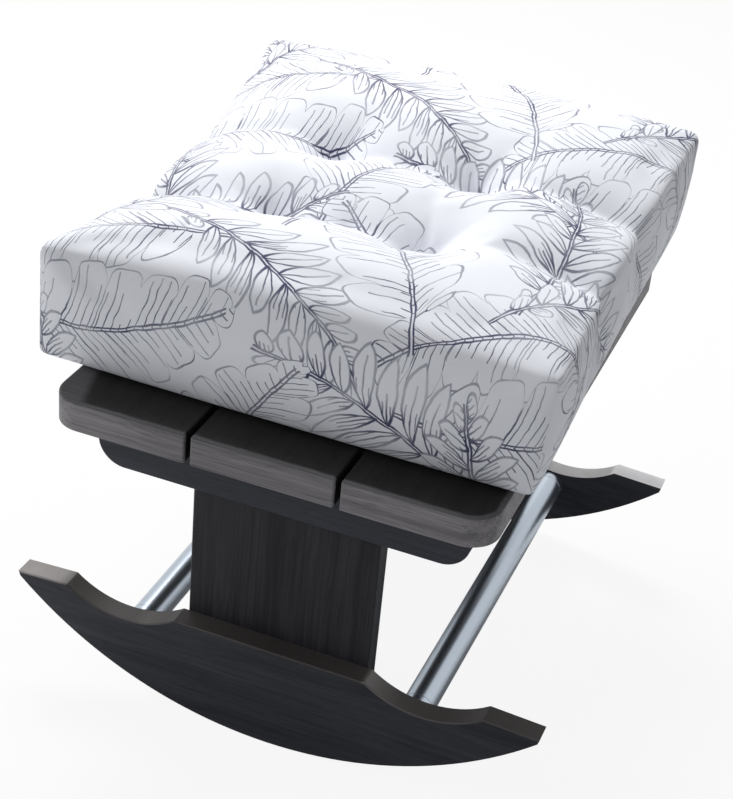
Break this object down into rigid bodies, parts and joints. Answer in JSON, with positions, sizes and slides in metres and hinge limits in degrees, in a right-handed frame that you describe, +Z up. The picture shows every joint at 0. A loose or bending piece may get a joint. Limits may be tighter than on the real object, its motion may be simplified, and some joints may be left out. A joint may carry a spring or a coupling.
{
  "type": "rocking footstool",
  "caption": "Low rocking footstool: slatted wooden seat on two arc rockers joined by metal tubes, with a loose tufted printed cushion on top.",
  "frame": {"origin": "on the floor, under the middle of the frame, half way along and half way between the rockers", "axes": "+X along the rockers (the way it rocks), +Y from the front rocker to the back one, +Z up"},
  "size_m": [0.556, 0.6457, 0.5102],
  "materials": {
    "stained_wood": "satin",
    "tube_metal": "satin",
    "zinc_steel": "satin",
    "printed_cotton": "matte",
    "zip_tape": "matte",
    "fibre": "matte",
    "thread": "matte"
  },
  "bodies": {
    "frame": {"front_rocker": "stained_wood", "back_rocker": "stained_wood", "front_upright": "stained_wood", "back_upright": "stained_wood", "front_seat_rail": "stained_wood", "back_seat_rail": "stained_wood", "left_seat_slat": "stained_wood", "middle_seat_slat": "stained_wood", "right_seat_slat": "stained_wood", "left_tie_tube": "tube_metal", "right_tie_tube": "tube_metal", "left_front_tube_plug": "tube_metal", "left_back_tube_plug": "tube_metal", "right_front_tube_plug": "tube_metal", "right_back_tube_plug": "tube_metal", "tube_studs": "zinc_steel", "front_rocker_screws": "zinc_steel", "back_rocker_screws": "zinc_steel", "front_rail_screws": "zinc_steel", "back_rail_screws": "zinc_steel", "front_slat_screws": "zinc_steel", "back_slat_screws": "zinc_steel"},
    "cushion": {"cushion_cover": "printed_cotton", "cushion_zip": "zip_tape", "cushion_filling": "fibre", "tuft_threads": "thread"}
  },
  "joints": [
    {"name": "cushion_lift", "type": "slide", "parent": "frame", "child": "cushion", "axis": [0, 0, 1], "range_m": [0, 0.15]}
  ]
}
